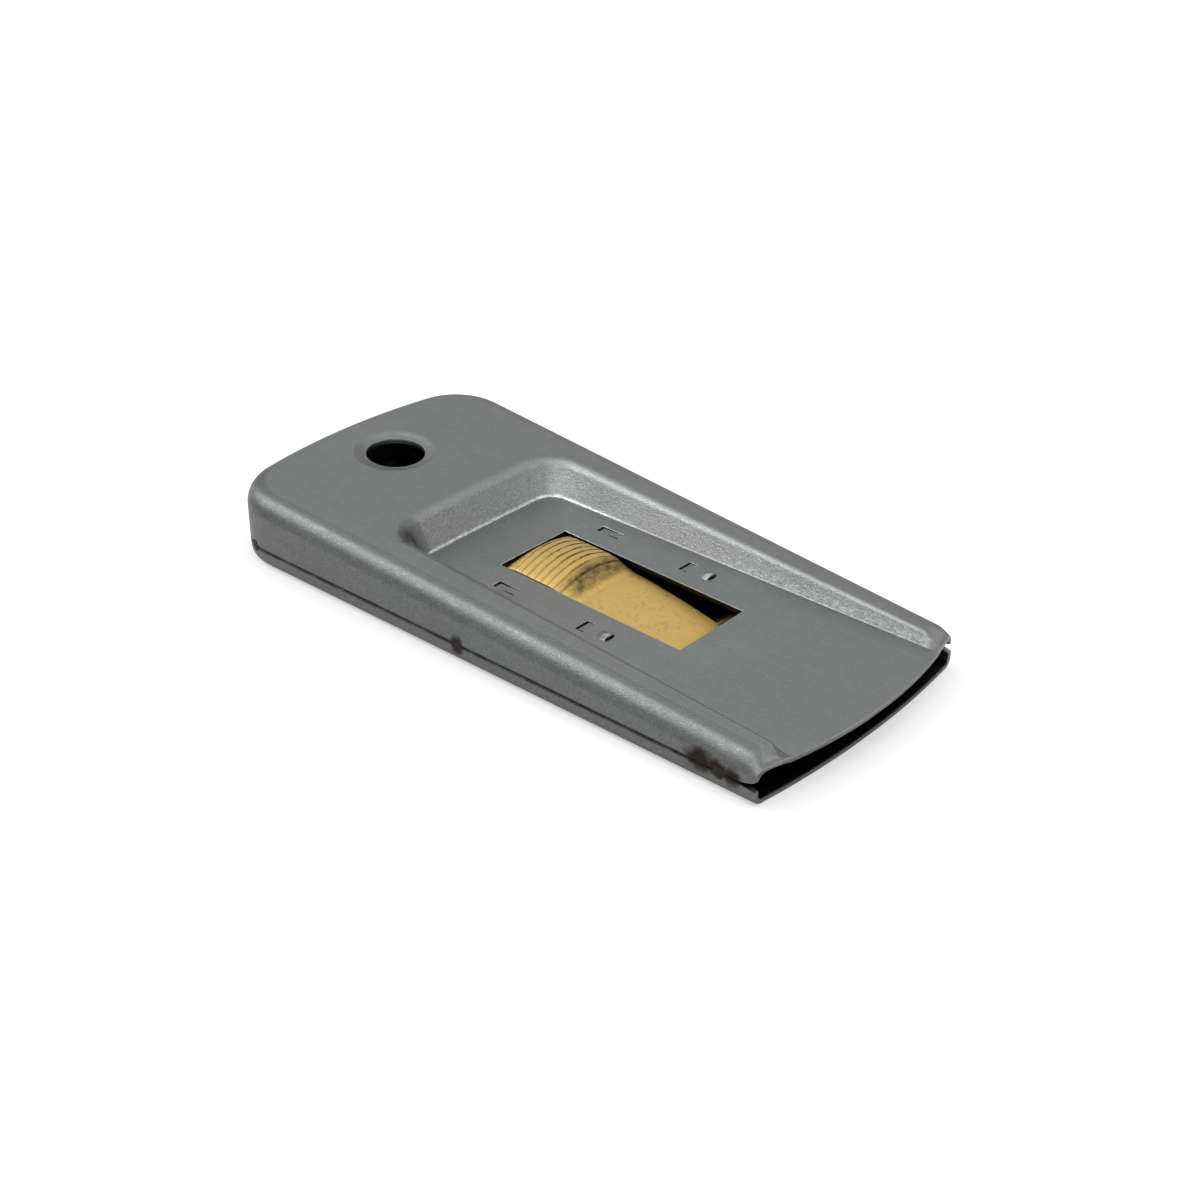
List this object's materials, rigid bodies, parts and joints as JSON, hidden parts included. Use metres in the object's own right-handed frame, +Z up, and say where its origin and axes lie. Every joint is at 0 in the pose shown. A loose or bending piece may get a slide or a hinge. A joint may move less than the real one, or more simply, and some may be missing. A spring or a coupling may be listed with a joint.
{
  "type": "razor blade scraper",
  "caption": "Slim pressed steel scraper holder with a sprung thumb slide that pushes a single-edge razor blade out of its open front.",
  "frame": {"origin": "centre of the part's box, on the flat base that it lies on", "axes": "+X along the body towards the blade, +Y across it, +Z up out of the top face"},
  "size_m": [0.1035, 0.0496, 0.0115],
  "materials": {
    "casing": "bare pressed sheet, satin, faintly mottled",
    "weld": "scorched, matt",
    "slide": "gold coloured plating, satin",
    "carrier": "bare sheet, satin",
    "rivet": "satin",
    "blade": "fine ground, bright edge",
    "spine": "satin"
  },
  "bodies": {
    "housing": {"upper_casing": "casing", "lower_casing": "casing", "seam_welds": "weld"},
    "carriage": {"slide_foot": "slide", "blade_carrier": "carrier", "carrier_rivets": "rivet"},
    "thumb": {"thumb_slide": "slide"},
    "blade": {"razor_blade": "blade", "blade_spine": "spine"}
  },
  "joints": [
    {"name": "carriage_slide", "type": "slide", "parent": "housing", "child": "carriage", "axis": [1, 0, 0], "range_m": [0, 0.0163]},
    {"name": "thumb_press", "type": "hinge", "parent": "carriage", "child": "thumb", "pos_m": [0.0207, 0, 0.0018], "axis": [0, 1, 0], "range_deg": [-1.9, 0], "stiffness_Nm_per_rad": 5},
    {"name": "blade_pull", "type": "slide", "parent": "carriage", "child": "blade", "axis": [1, 0, 0], "range_m": [0, 0.027]}
  ]
}
